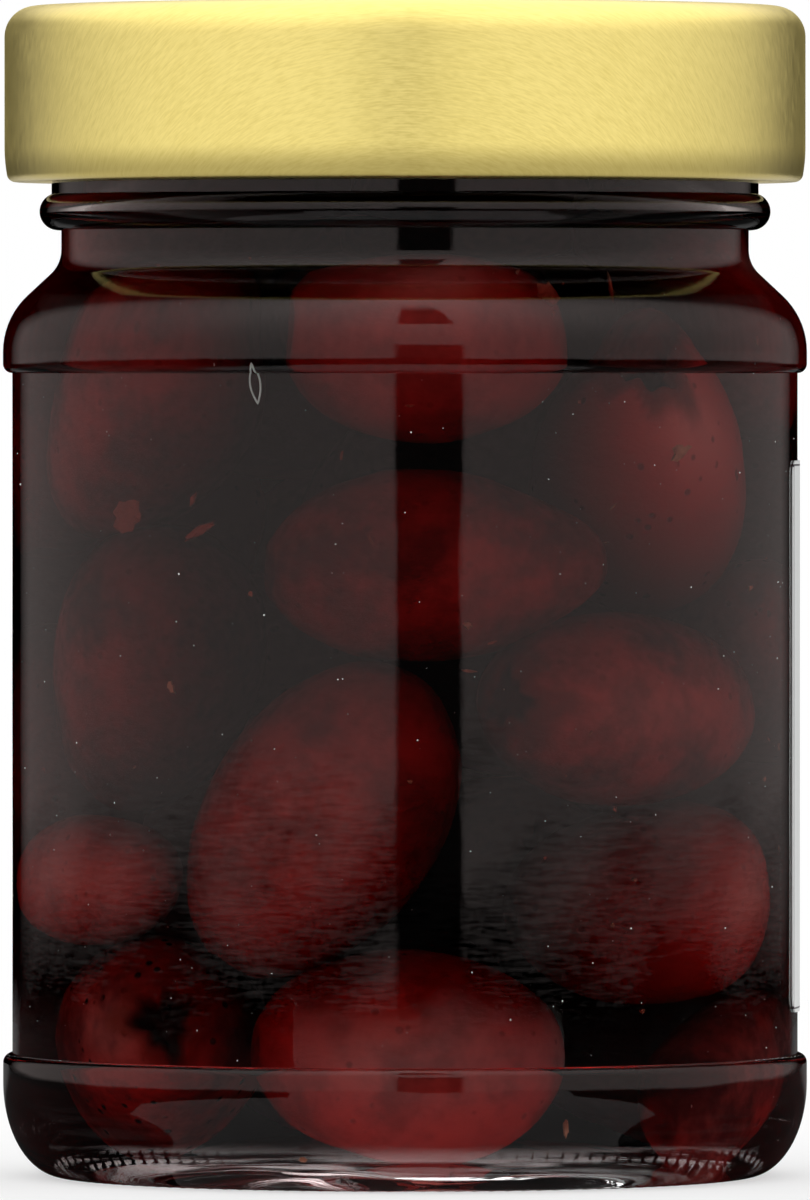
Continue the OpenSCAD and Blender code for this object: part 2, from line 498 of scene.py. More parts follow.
def speck_and_highlight_material():
    """The fine pale specks, and the painted highlight round the bubble in the glass."""
    material, n = new_material("pale_specks_and_highlight")
    tint = n.mix(n.noise(n.place(), 2000.0), SPECK_GREY, SPECK_WHITE)
    finish_material(n, {"Base Color": tint, "Roughness": 0.5})
    return material


LID_GOLD = (0.80, 0.655, 0.225)
LID_SHADE = (0.68, 0.545, 0.165)
LID_PAINTED_SHADE = (0.16, 0.12, 0.03)
# Between these heights above the lid's edge, in mm, the painted shade on its skirt fades.
LID_PAINTED_SHADE_FROM = 0.8
LID_PAINTED_SHADE_TO = 3.4
FINE_BRUSH = 6500.0
BROAD_BRUSH = 2200.0
# How much the two kinds of brush lines are drawn out along the sheet.
FINE_STRETCH = 0.12
BROAD_STRETCH = 0.16
LEAST_R = 0.003


def lid_material():
    """Satin gold lacquer on brushed tinplate, with painted shade low on the skirt. The sheet's straight
    brush lines bend where it is drawn.
    """
    material, n = new_material("satin_gold")
    x, y, z = n.split(n.place())
    radius = n.math("MAXIMUM", n.distance(x, y), LEAST_R)
    drop = n.math("MAXIMUM", n.minus(LID_TOP_Z * MM, z), 0.0)
    spread = n.plus(n.math("DIVIDE", drop, radius), 1.0)
    sheet_x = n.times(x, spread)
    sheet_y = n.times(y, spread)
    fine = n.noise(n.join(n.times(sheet_x, FINE_STRETCH), sheet_y, 0.0), FINE_BRUSH, 2.0)
    broad = n.noise(n.join(n.times(sheet_x, BROAD_STRETCH), sheet_y, 0.0), BROAD_BRUSH, 2.0, 0.6)
    lines = n.plus(n.times(fine, 0.6), n.times(broad, 0.4))
    cloud = n.noise(n.place(), 60.0, 2.0)
    colour = n.mix(n.smooth(n.plus(lines, n.times(cloud, 0.25)), 0.4, 0.8), LID_SHADE, LID_GOLD)
    # Painted shade: the sheet darkens towards its curl, in place of the shade of its rounding.
    low = n.smooth(z, (LID_LOW_Z + LID_PAINTED_SHADE_FROM) * MM, (LID_LOW_Z + LID_PAINTED_SHADE_TO) * MM, 0.5, 0.0)
    colour = n.mix(low, colour, LID_PAINTED_SHADE)
    roughness = n.smooth(lines, 0.3, 0.7, 0.30, 0.42)
    normal = n.bump(lines, 0.22, 0.00003)
    finish_material(n, {"Base Color": colour, "Metallic": 1.0, "Roughness": roughness,
                        "Normal": normal})
    return material


LABEL_START = -11.6
LABEL_ARC = 185.0
LABEL_FRAME_IN = 0.32
LABEL_FRAME_W = 0.16
PAPER = (0.80, 0.81, 0.80)
INK = (0.055, 0.045, 0.05)
AUBERGINE = (0.10, 0.018, 0.045)
LEAF = (0.16, 0.22, 0.07)
STRAW = (0.62, 0.50, 0.22)
GRAIN_GREY = (0.4, 0.4, 0.4)
# The print, in mm from the label's middle.
BAND_HALF = 28.0
BAND_MARGIN = 1.4
RULE_FROM = 18.0
RULE_TO = 18.7
OVAL_HALF = (21.0, 14.0)
# The two printed olives: how far each is from the middle, and its lean in degrees.
PRINTED_OLIVES = ((-7.0, 62.0), (7.5, 118.0))
OLIVE_HALF = (6.2, 4.2)
OLIVE_UP = -1.5
LEAF_HALF = (5.2, 1.7)
LEAF_UP = 6.6
LEAF_LEAN = -60.0


def label_material():
    """Coated white paper with a thin frame and, at the back, a band with an oval and two olives."""
    material, n = new_material("label_paper")
    place = n.place()
    x, y, z = n.split(place)
    angle = n.math("ARCTAN2", y, x)
    angle = n.plus(angle, math.radians(-LABEL_START - LABEL_ARC / 2))
    along = n.times(angle, PANEL_R)
    up = n.minus(n.math("DIVIDE", z, MM), (LABEL_LOW.z + LABEL_HIGH.z) / 2)
    half_w = math.radians(LABEL_ARC / 2) * PANEL_R
    half_h = (LABEL_HIGH.z - LABEL_LOW.z) / 2
    from_side = n.minus(half_w, n.math("ABSOLUTE", along))
    from_top = n.minus(half_h, n.math("ABSOLUTE", up))
    from_edge = n.math("MINIMUM", from_side, from_top)
    line = n.between(from_edge, LABEL_FRAME_IN, LABEL_FRAME_IN + LABEL_FRAME_W, 0.05)
    colour = n.mix(line, PAPER, INK)

    def oval(centre_x, centre_y, half, lean):
        wide, high = half
        dx = n.minus(along, centre_x)
        dy = n.minus(up, centre_y)
        c, s = math.cos(math.radians(lean)), math.sin(math.radians(lean))
        ax = n.plus(n.times(dx, c / wide), n.times(dy, s / wide))
        ay = n.minus(n.times(dy, c / high), n.times(dx, s / high))
        size = n.plus(n.times(ax, ax), n.times(ay, ay))
        return n.smooth(size, 0.97, 1.03, 1.0, 0.0)

    band = n.between(along, -BAND_HALF, BAND_HALF, 0.1)
    band = n.times(band, n.between(up, -half_h + BAND_MARGIN, half_h - BAND_MARGIN, 0.1))
    colour = n.mix(band, colour, AUBERGINE)
    rule = n.times(band, n.between(n.math("ABSOLUTE", up), RULE_FROM, RULE_TO, 0.1))
    colour = n.mix(rule, colour, STRAW)
    colour = n.mix(oval(0.0, 0.0, OVAL_HALF, 0.0), colour, PAPER)
    for centre, lean in PRINTED_OLIVES:
        colour = n.mix(oval(centre, LEAF_UP, LEAF_HALF, lean + LEAF_LEAN), colour, LEAF)
        colour = n.mix(oval(centre, OLIVE_UP, OLIVE_HALF, lean), colour, AUBERGINE)
    grain = n.noise(place, 4000.0, 3.0)
    colour = n.mix(n.smooth(grain, 0.3, 0.8, 0.0, 0.06), colour, GRAIN_GREY)
    normal = n.bump(grain, 0.15, 0.00002)
    finish_material(n, {"Base Color": colour, "Roughness": 0.42, "Normal": normal})
    return material


# ---- pieces
KNURL_BARS = 128
KNURL_DEPTH = 0.42
GLASS_SEGMENTS = 3 * KNURL_BARS
GLASS_SEED = 11
WAVES = 14
WAVE_HEIGHT = 0.003
MOST_LOBES = 22
WAVE_PITCH = (16, 60)
# How far the base waves up and down, and the lengths of its three waves.
BASE_WAVE = 0.15
BASE_WAVE_LENGTHS = (3.4, 5.1, 2.3)


def build_glass():
    """The jar, with a slightly wavy outer wall and a knurled ring to stand on."""
    outside = outside_outline()
    inside = inside_outline()[::-1]
    points, faces = lathe(outside + inside, GLASS_SEGMENTS)
    angle = np.arctan2(points[:, 0], -points[:, 1])
    radius = np.hypot(points[:, 0], points[:, 1])
    height = points[:, 2]
    outer_count = 1 + (len(outside) - 1) * GLASS_SEGMENTS
    outer = np.arange(len(points)) < outer_count

    rng = np.random.default_rng(GLASS_SEED)
    wave = np.zeros(len(points))
    for _ in range(WAVES):
        lobes = rng.integers(2, MOST_LOBES)
        pitch = FULL_TURN / rng.uniform(*WAVE_PITCH)
        wave += np.sin(lobes * angle + rng.choice([-1, 1]) * pitch * height + rng.uniform(0, FULL_TURN))
    side = outer & (height > HEEL_ROUND_H) & (height < RIM_Z - FINISH_H)
    push = np.where(side, WAVE_HEIGHT * wave - WAVE_HEIGHT * 2, 0)
    push = np.clip(push, -0.1, 0) / np.maximum(radius, 1)
    points[:, 0] *= 1 + push
    points[:, 1] *= 1 + push

    # Both faces of the base wave outwards from its middle, each wave bent to and fro round the jar.
    under = (height < PUSH_UP + BASE_T + 1) & (radius > 2) & (radius < DOME_R - 0.5)
    first, second, third = (FULL_TURN * radius / length for length in BASE_WAVE_LENGTHS)
    base_wave = np.sin(first + 1.3 * np.sin(3 * angle) + 0.8 * np.sin(8 * angle + 1))
    base_wave += 0.7 * np.sin(second + 1.1 * np.sin(5 * angle + 2))
    base_wave += 0.5 * np.sin(third + 2.0 * np.sin(4 * angle + 1) + 2.0 * outer)
    points[:, 2] += np.where(under, BASE_WAVE * base_wave, 0)

    ring_mid = (RING_IN_R + RING_OUT_R) / 2
    on_ring = outer & (np.abs(radius - ring_mid) < RING_W) & (height < RING_STEP)
    bars = 0.5 - 0.5 * np.cos(KNURL_BARS * angle)
    points[:, 2] += np.where(on_ring, KNURL_DEPTH * bars, 0)

    materials = [glass_material(), wetted_glass_material()]
    piece = add_piece("jar_glass", points, faces, materials, ["jar"], 60)
    inner_first = (len(outside) - 1) * GLASS_SEGMENTS
    indices = (np.arange(len(faces)) >= inner_first).astype(np.int32)
    piece.data.polygons.foreach_set("material_index", indices)


BRINE_SEGMENTS = 192
INTO_WALL = 0.2


def build_brine():
    """The brine, which reaches just into the glass, up to a level surface."""
    outline = inside_outline(INTO_WALL) + [(MOUTH_R + INTO_WALL, FILL_Z), (0.0, FILL_Z)]
    points, faces = lathe(outline, BRINE_SEGMENTS)
    add_piece("brine_liquid", points, faces, [brine_material()], ["brine"])


LID_SEGMENTS = 256


def build_lid():
    """The pressed lid with its recess, button and rolled edge."""
    outline = lid_face(0.0) + lid_face(LID_T)[::-1]
    points, faces = lathe(outline[::-1], LID_SEGMENTS)
    add_piece("lid_sheet", points, faces, [lid_material()], ["lid"], 50)


LABEL_COLUMNS = 240
LABEL_CORNER_COLUMNS = 12
LABEL_ROUND = 1.5
LABEL_T = 0.15


def build_label():
    """The paper label, round the back of the jar, with rounded corners."""
    half_arc = math.radians(LABEL_ARC / 2) * PANEL_R
    middle = math.radians(LABEL_START + LABEL_ARC / 2)
    quarter = np.linspace(0, math.pi / 2, LABEL_CORNER_COLUMNS)
    corner = half_arc - LABEL_ROUND * (1 - np.cos(quarter))
    flat = np.linspace(-half_arc + LABEL_ROUND, half_arc - LABEL_ROUND, LABEL_COLUMNS)
    places = np.concatenate([-corner[:-1], flat, corner[:-1][::-1]])
    over = np.clip(np.abs(places) - (half_arc - LABEL_ROUND), 0, LABEL_ROUND)
    cut = LABEL_ROUND - np.sqrt(LABEL_ROUND ** 2 - over ** 2)
    outer_r = LABEL_HIGH.y
    points, faces = [], []
    for place, short in zip(places, cut):
        angle = middle + place / PANEL_R
        for r in (outer_r - LABEL_T, outer_r):
            for z in (LABEL_LOW.z + short, LABEL_HIGH.z - short):
                points.append((r * math.cos(angle), r * math.sin(angle), z))
    for k in range(len(places) - 1):
        a, b = 4 * k, 4 * (k + 1)
        faces.append((a + 2, b + 2, b + 3, a + 3))
        faces.append((a + 0, a + 1, b + 1, b + 0))
        faces.append((a + 0, b + 0, b + 2, a + 2))
        faces.append((a + 1, a + 3, b + 3, b + 1))
    last = 4 * (len(places) - 1)
    faces.append((0, 2, 3, 1))
    faces.append((last, last + 1, last + 3, last + 2))
    add_piece("label_sheet", points, faces, [label_material()], ["label"])


# ---- olives
# Points round each olive, and along it.
AROUND = 44
ALONG = 38
OLIVE_SEED = 5
FRUIT_GAP = 0.25
WALL_GAP = 0.15
CONTENT_TOP = 97.0
HIDDEN_FRUIT = 27
HIDDEN_LENGTH = (22, 28)
HIDDEN_WIDTH = (16, 19)
# The hidden olives keep behind this, so that the front ones stay as placed.
BEHIND_Y = -2.0
# Steps of settling and of clearing the wall, and what share of an overlap a step takes away.
RELAX_STEPS = 260
CLEAR_STEPS = 12
FRUIT_PUSH = 0.35
WALL_PUSH = 0.7
BEHIND_PUSH = 0.5
MOVE_SHARE = 1.6
TWIST_SHARE = 4
# The pit hole: how much painted shade darkens it, its radius, and where its torn rim begins and ends.
WELL_PAINTED_SHADE = 1.2
WELL_R = 2.3
TORN_FROM = 1.6
TORN_TO = 5.4

# The olives seen at the front, placed one by one: azimuth from the front towards +X and lean in degrees,
# height of the centre, distance to the wall, length and width in mm, turn of the far end outwards,
# how pointed the tip is, depth of the pit hole, skin tone and pores.
FRONT_OLIVES = (
    # azimuth, height, gap, lean, out, length, width, tip, hole, tone, pores
    (3.5, 75.6, 0.5, -4.0, 0.0, 23.5, 16.4, 0.4, 0.0, 0.78, 0.2),
    (56.0, 64.4, 0.3, 123.0, 28.0, 29.0, 18.7, 0.0, 3.6, 1.12, 0.5),
    (5.0, 56.4, 1.5, 2.0, 0.0, 27.8, 17.3, 1.0, 0.0, 0.52, 0.2),
    (45.0, 43.3, 0.8, 176.0, 6.0, 29.5, 17.4, 0.0, 1.0, 0.52, 0.3),
    (-17.0, 33.3, 0.3, 60.0, 0.0, 30.4, 19.8, 0.0, 0.0, 0.62, 0.1),
    (57.0, 25.4, 0.3, 6.0, 40.0, 24.0, 18.4, 0.0, 0.0, 0.80, 0.3),
    (-60.0, 13.4, 0.2, 10.0, 36.0, 27.5, 18.8, 0.0, 5.0, 0.46, 1.0),
    (0.8, 12.2, 0.3, -3.0, 0.0, 26.0, 18.6, 0.0, 0.0, 0.70, 0.4),
    (-68.0, 27.6, 0.6, 5.0, 0.0, 24.0, 11.8, 0.0, 0.0, 0.85, 0.3),
    (-62.0, 46.9, 2.2, 75.0, 0.0, 26.4, 18.4, 0.0, 0.0, 0.42, 0.3),
    (-60.0, 70.0, 1.4, 50.0, 0.0, 26.0, 18.0, 0.0, 0.0, 0.52, 0.3),
    (68.0, 10.4, 0.4, 20.0, 0.0, 24.0, 12.0, 0.0, 0.0, 0.32, 0.3),
)


def wall_radius(z):
    """Inner radius of the glass at a height."""
    return np.interp(z, (0, 5, NECK_LOW_Z - 10, NECK_LOW_Z), (FLOOR_R + 3, INSIDE_R, INSIDE_R, MOUTH_R))


def axes_at(azimuth, lean, out):
    """Three axes of an olive at an azimuth: its long one, one up, and one that faces out."""
    azimuth, lean, out = np.radians([azimuth, lean, out])
    outward = np.array([math.sin(azimuth), -math.cos(azimuth), 0])
    sideways = np.array([math.cos(azimuth), math.sin(azimuth), 0])
    up = np.array([0.0, 0.0, 1.0])
    long_axis = sideways * math.cos(lean) + up * math.sin(lean)
    across = up * math.cos(lean) - sideways * math.sin(lean)
    turned = long_axis * math.cos(out) + outward * math.sin(out)
    facing = outward * math.cos(out) - long_axis * math.sin(out)
    return np.array([turned, across, facing])


CHAIN = np.array([-1.0, -0.5, 0.0, 0.5, 1.0])


def sphere_chain(centres, axes, sizes):
    """A row of spheres in each olive: their centres and radii."""
    half_l, half_w = sizes[:, 0] / 2, sizes[:, 1] / 2
    reach = (half_l ** 2 - half_w ** 2) / half_l
    along = reach[:, None] * CHAIN
    radii = half_w[:, None] * np.sqrt(1 - along ** 2 / (half_l ** 2 - half_w ** 2)[:, None])
    return centres[:, None, :] + along[:, :, None] * axes[:, None, 0, :], radii


def rotation(axis_angle):
    """The matrix that turns by a small vector's length about it."""
    angle = np.linalg.norm(axis_angle)
    if angle < 1e-9:
        return np.eye(3)
    x, y, z = axis_angle / angle
    c, s = math.cos(angle), math.sin(angle)
    cross = np.array([[0, -z, y], [z, 0, -x], [-y, x, 0]])
    return np.eye(3) * c + s * cross + (1 - c) * np.outer((x, y, z), (x, y, z))


def settle(centres, axes, sizes, fixed):
    """Pushes the loose olives apart and off the wall, a little at a time."""
    count = len(centres)
    owner = np.repeat(np.arange(count), len(CHAIN))
    same = owner[:, None] == owner[None, :]
    for _ in range(RELAX_STEPS):
        spheres, radii = sphere_chain(centres, axes, sizes)
        flat, r = spheres.reshape(-1, 3), radii.ravel()
        apart = flat[:, None] - flat[None, :]
        distance = np.linalg.norm(apart, axis=2) + TINY
        overlap = np.clip(r[:, None] + r[None, :] + FRUIT_GAP - distance, 0, None)
        overlap[same] = 0
        push = (apart / distance[..., None] * overlap[..., None]).sum(axis=1) * FRUIT_PUSH
        radial = np.hypot(flat[:, 0], flat[:, 1]) + TINY
        over = np.clip(radial + r + FRUIT_GAP - wall_radius(flat[:, 2]), 0, None)
        push[:, :2] -= flat[:, :2] / radial[:, None] * over[:, None] * WALL_PUSH
        low = dome_z(np.minimum(radial, FLOOR_R)) + BASE_T + FRUIT_GAP
        push[:, 2] += np.clip(low + r - flat[:, 2], 0, None) * WALL_PUSH
        push[:, 2] -= np.clip(flat[:, 2] + r - CONTENT_TOP, 0, None) * WALL_PUSH
        push = push.reshape(count, len(CHAIN), 3)
        arms = spheres - centres[:, None, :]
        twist = np.cross(arms, push).sum(axis=1) / (sizes[:, 0] ** 2)[:, None]
        for k in range(count):
            if not fixed[k]:
                centres[k] += push[k].mean(axis=0) * MOVE_SHARE
                centres[k, 1] += max(0.0, BEHIND_Y - centres[k, 1]) * BEHIND_PUSH
                axes[k] = axes[k] @ rotation(twist[k] * TWIST_SHARE).T
    for _ in range(CLEAR_STEPS):
        spheres, radii = sphere_chain(centres, axes, sizes)
        radial = np.hypot(spheres[..., 0], spheres[..., 1])
        over = radial + radii + FRUIT_GAP - wall_radius(spheres[..., 2])
        worst = over.argmax(axis=1)
        for k in range(count):
            if over[k, worst[k]] > 0 and not fixed[k]:
                x, y = spheres[k, worst[k], :2] / radial[k, worst[k]]
                centres[k] -= np.array([x, y, 0.0]) * over[k, worst[k]]
    return centres, axes


def ripples(points, rng, count, low, high):
    """Smooth random relief from waves with lengths between low and high."""
    total = np.zeros(len(points))
    for _ in range(count):
        direction = rng.normal(size=3)
        direction *= FULL_TURN / rng.uniform(low, high) / np.linalg.norm(direction)
        total += np.sin(points @ direction + rng.uniform(0, FULL_TURN))
    return total / math.sqrt(count)


def fruit_grid():
    """Angles of an olive's points, with rows closer at its ends, and its faces."""
    share = np.linspace(0, 1, ALONG + 1)
    polar = math.pi * (share - 0.55 * np.sin(FULL_TURN * share) / FULL_TURN)
    turn = np.arange(AROUND) * FULL_TURN / AROUND
    rows = np.repeat(polar[1:-1], AROUND)
    cols = np.tile(turn, ALONG - 1)
    rows = np.concatenate([[0.0], rows, [math.pi]])
    cols = np.concatenate([[0.0], cols, [0.0]])
    last = len(rows) - 1
    faces = []
    for j in range(AROUND):
        k = (j + 1) % AROUND
        faces.append((0, 1 + k, 1 + j))
        for i in range(ALONG - 2):
            low, high = 1 + i * AROUND, 1 + (i + 1) * AROUND
            faces.append((low + j, low + k, high + k, high + j))
        base = 1 + (ALONG - 2) * AROUND
        faces.append((base + j, base + k, last))
    return rows, cols, faces


def olive_shape(rows, cols, length, width, tip, hole, rng):
    """One olive along X: its points, how much of each is torn flesh and how far it is down the hole."""
    along = -np.cos(rows)
    girth = np.sin(rows) ** 0.92
    girth = girth * (1 + rng.uniform(-0.10, 0.10) * along)
    girth = girth * (1 - 0.22 * tip * ease((along - 0.1) / 0.9))
    along = along + 0.07 * tip * ease((along - 0.7) / 0.3)
    points = np.stack([along * length / 2,
                       girth * np.cos(cols) * width / 2,
                       girth * np.sin(cols) * width / 2 * rng.uniform(0.94, 1.0)], axis=1)
    normal = points / np.array([length / 2, width / 2, width / 2]) ** 2
    normal /= np.linalg.norm(normal, axis=1)[:, None] + 1e-9
    relief = 0.26 * ripples(points, rng, 5, 12, 26) + 0.07 * ripples(points, rng, 8, 3.5, 8)
    points += normal * relief[:, None]
    off_axis = np.hypot(points[:, 1], points[:, 2])
    stem = points[:, 0] < 0
    dimple = 0.9 * np.exp(-(off_axis / 1.5) ** 2) - 0.25 * np.exp(-((off_axis - 2.3) / 0.7) ** 2)
    points[:, 0] += np.where(stem, dimple, 0)
    flesh = np.where(stem, 0.6 * np.exp(-(off_axis / 1.7) ** 2), 0)
    well = np.zeros(len(points))
    if hole:
        ragged = off_axis * (1 + 0.22 * np.sin(3 * cols + 1) + 0.14 * np.sin(7 * cols))
        well = np.where(~stem, np.exp(-(ragged / WELL_R) ** 4), 0)
        points[:, 0] -= hole * well
        ring = ease((TORN_TO - ragged) / 1.6) * ease(ragged - TORN_FROM)
        flesh = np.maximum(flesh, np.where(~stem, ring, 0))
    return points, flesh, well


def build_olives():
    """All the olives, as one mesh: the front ones as listed, the rest settled round them."""
    rng = np.random.default_rng(OLIVE_SEED)
    centres, axes, sizes, looks = [], [], [], []
    for azimuth, height, gap, lean, out, length, width, tip, hole, tone, pores in FRONT_OLIVES:
        tilt = math.radians(out)
        reach = math.hypot(width / 2 * math.cos(tilt), length / 2 * math.sin(tilt))
        distance = wall_radius(height) - gap - reach
        turn = math.radians(azimuth)
        centres.append((distance * math.sin(turn), -distance * math.cos(turn), height))
        axes.append(axes_at(azimuth, lean, out))
        sizes.append((length, width))
        looks.append((tip, hole, tone, pores))
    for _ in range(HIDDEN_FRUIT):
        turn = rng.uniform(math.pi / 2, 3 * math.pi / 2)
        distance = math.sqrt(rng.uniform(0, 1)) * (INSIDE_R - 10)
        height = rng.uniform(14, CONTENT_TOP - 9)
        centres.append((distance * math.sin(turn), -distance * math.cos(turn), height))
        axes.append(axes_at(math.degrees(turn), rng.uniform(0, 180), rng.uniform(-30, 30)))
        sizes.append((rng.uniform(*HIDDEN_LENGTH), rng.uniform(*HIDDEN_WIDTH)))
        hole = rng.choice([0.0, 0.0, 3.0])
        looks.append((rng.uniform(0, 0.8), hole, rng.uniform(0.3, 0.9), rng.uniform(0, 0.6)))
    centres, axes, sizes = np.array(centres), np.array(axes), np.array(sizes)
    fixed = np.arange(len(centres)) < len(FRONT_OLIVES)
    centres, axes = settle(centres, axes, sizes, fixed)

    rows, cols, grid = fruit_grid()
    points, faces, tones, pores, fleshes = [], [], [], [], []
    for centre, axis, (length, width), (tip, hole, tone, pore) in zip(centres, axes, sizes, looks):
        start = len(points) * len(rows)
        local, flesh, well = olive_shape(rows, cols, length, width, tip, hole, rng)
        # An olive whose bumps reach the wall moves in towards the axis.
        placed = local @ axis + centre
        reach = np.hypot(placed[:, 0], placed[:, 1])
        excess = max(0.0, (reach - wall_radius(placed[:, 2]) + WALL_GAP).max())
        placed[:, :2] -= centre[:2] / np.linalg.norm(centre[:2]) * excess
        points.append(placed)
        faces.extend(tuple(start + v for v in face) for face in grid)
        # Painted shade: the tone drops down the pit hole, where shade falls.
        tones.append(tone - WELL_PAINTED_SHADE * well)
        pores.append(np.full(len(rows), pore))
        fleshes.append(flesh)
    piece = add_piece("olives", np.concatenate(points), faces, [olive_material()], sharp=80)
    point_attribute(piece, "tone", np.concatenate(tones))
    point_attribute(piece, "pores", np.concatenate(pores))
    point_attribute(piece, "flesh", np.concatenate(fleshes))


# ---- crumbs, specks, flaw
def on_wall(azimuth, height, depth):
    """A point at a depth behind the inner wall, and its sideways, up and outward axes."""
    turn = math.radians(azimuth)
    distance = wall_radius(height) - depth
    centre = np.array([distance * math.sin(turn), -distance * math.cos(turn), height])
    axes = np.array([(math.cos(turn), math.sin(turn), 0), (0, 0, 1), (math.sin(turn), -math.cos(turn), 0)])
    return centre, axes


def flake(wide, high, thick, rng, corners=17):
    """A thin torn flake in its own plane: points and faces."""
    turn = np.arange(corners) * FULL_TURN / corners
    reach = rng.uniform(0.62, 1.1, corners)
    rim = np.stack([reach * np.cos(turn) * wide / 2, reach * np.sin(turn) * high / 2,
                    rng.uniform(-0.3, 0.3, corners) * thick], axis=1)
    points = np.vstack([rim, rim * 0.8 + (0, 0, thick / 2), rim * 0.8 - (0, 0, thick / 2),
                        [(0, 0, thick / 2), (0, 0, -thick / 2)]])
    front, back = 3 * corners, 3 * corners + 1
    faces = []
    for j in range(corners):
        k = (j + 1) % corners
        faces.append((j, k, corners + k, corners + j))
        faces.append((corners + j, corners + k, front))
        faces.append((k, j, 2 * corners + j, 2 * corners + k))
        faces.append((2 * corners + k, 2 * corners + j, back))
    return points, faces


# azimuth, height, depth, width, height, turn, paleness of each crumb that shows
CRUMBS = (
    (-47.0, 60.8, 0.8, 3.9, 3.4, 20.0, 0.12),
    (-34.0, 62.2, 0.8, 0.6, 1.7, -20.0, 0.2),
    (-33.0, 59.4, 0.8, 4.2, 1.0, 25.0, 0.1),
    (-24.0, 53.8, 0.8, 0.6, 0.6, 0.0, 0.5),
    (9.5, 51.0, 0.8, 1.0, 0.9, 0.0, 0.55),
    (9.6, 46.9, 0.8, 1.6, 0.35, -5.0, 0.4),
    (24.0, 79.6, 1.0, 2.0, 3.2, 30.0, 0.35),
    (36.0, 80.2, 1.0, 0.3, 3.6, 0.0, 0.5),
    (46.5, 66.8, 0.6, 3.2, 1.7, 35.0, 0.95),
    (64.0, 54.1, 0.6, 1.0, 0.6, 20.0, 0.8),
    (75.0, 39.5, 0.6, 0.5, 0.8, 0.0, 0.8),
    (69.0, 36.7, 0.6, 0.7, 0.5, 0.0, 0.7),
    (37.0, 28.0, 0.6, 0.6, 0.5, 0.0, 0.5),
    (33.0, 23.9, 0.6, 0.5, 0.6, 0.0, 0.6),
    (38.5, 16.1, 0.6, 0.6, 0.4, 0.0, 0.6),
    (25.0, 6.0, 0.8, 0.6, 1.6, 0.0, 0.5),
    (-38.0, 45.3, 0.7, 0.8, 1.6, 25.0, 0.85),
    (-16.0, 3.6, 0.8, 1.0, 0.5, 0.0, 0.5),
)
CRUMB_THICK = 0.35
LOOSE_CRUMBS = 70
LOOSE_THICK = 0.15
CRUMB_SEED = 23


def build_crumbs():
    """Torn skin and flesh that hang in the brine by the glass."""
    rng = np.random.default_rng(CRUMB_SEED)
    crumbs = [(*row, CRUMB_THICK) for row in CRUMBS]
    for _ in range(LOOSE_CRUMBS):
        crumbs.append((rng.uniform(-180, 180), rng.uniform(8, 84), rng.uniform(0.4, 2.5),
                       rng.uniform(0.25, 1.1), rng.uniform(0.15, 0.5), rng.uniform(0, 180),
                       rng.uniform(0.1, 0.7), LOOSE_THICK))
    points, faces, tones, start = [], [], [], 0
    for azimuth, height, depth, wide, high, turn, pale, thick in crumbs:
        local, local_faces = flake(wide, high, thick, rng)
        c, s = math.cos(math.radians(turn)), math.sin(math.radians(turn))
        local = local @ np.array([(c, s, 0), (-s, c, 0), (0, 0, 1)])
        centre, axes = on_wall(azimuth, height, depth)
        points.append(local @ axes + centre)
        faces.extend(tuple(start + v for v in face) for face in local_faces)
        tones.append(np.full(len(local), pale))
        start += len(local)
    piece = add_piece("crumbs", np.concatenate(points), faces, [crumb_material()], sharp=60)
    point_attribute(piece, "tone", np.concatenate(tones))


SPECKS = 560
SPECK_SEED = 31
SPECK_SIZE = (0.03, 0.10)
SPECK_DEPTH = (0.05, 1.5)
SPECK_HEIGHT = (7, 84)


def build_specks():
    """Fine pale specks, half on the outside of the glass and half in the brine near it."""
    rng = np.random.default_rng(SPECK_SEED)
    corners = np.array([(1, 0, 0), (-1, 0, 0), (0, 1, 0), (0, -1, 0), (0, 0, 1), (0, 0, -1)], float)
    sides = [(0, 2, 4), (2, 1, 4), (1, 3, 4), (3, 0, 4), (2, 0, 5), (1, 2, 5), (3, 1, 5), (0, 3, 5)]
    points, faces = [], []
    for k in range(SPECKS):
        on_glass = k % 2 == 0
        low, high = (HEEL_H + 0.5, NECK_LOW_Z - 11) if on_glass else SPECK_HEIGHT
        depth = INSIDE_R - PANEL_R + 0.02 if on_glass else rng.uniform(*SPECK_DEPTH)
        centre, axes = on_wall(rng.uniform(-180, 180), rng.uniform(low, high), depth)
        size = rng.uniform(*SPECK_SIZE) * rng.uniform(0.5, 1.5, 3)
        points.append(corners * size @ axes + centre)
        faces.extend(tuple(6 * k + v for v in side) for side in sides)
    add_piece("sediment", np.concatenate(points), faces, [speck_and_highlight_material()], sharp=180)


# The bubble in the glass, drawn only as a pale wire that paints the highlight round its rim.
BLISTER_AZIMUTH = -22.0
BLISTER_Z = 72.7
BLISTER_LENGTH = 3.7
BLISTER_WIDTH = 1.0
BLISTER_LEAN = 8.0
BLISTER_WIRE = 0.10
BLISTER_IN = 0.16
# Steps along the bubble's outline, and points round each of them.
BLISTER_STEPS = 40
BLISTER_RING = 6


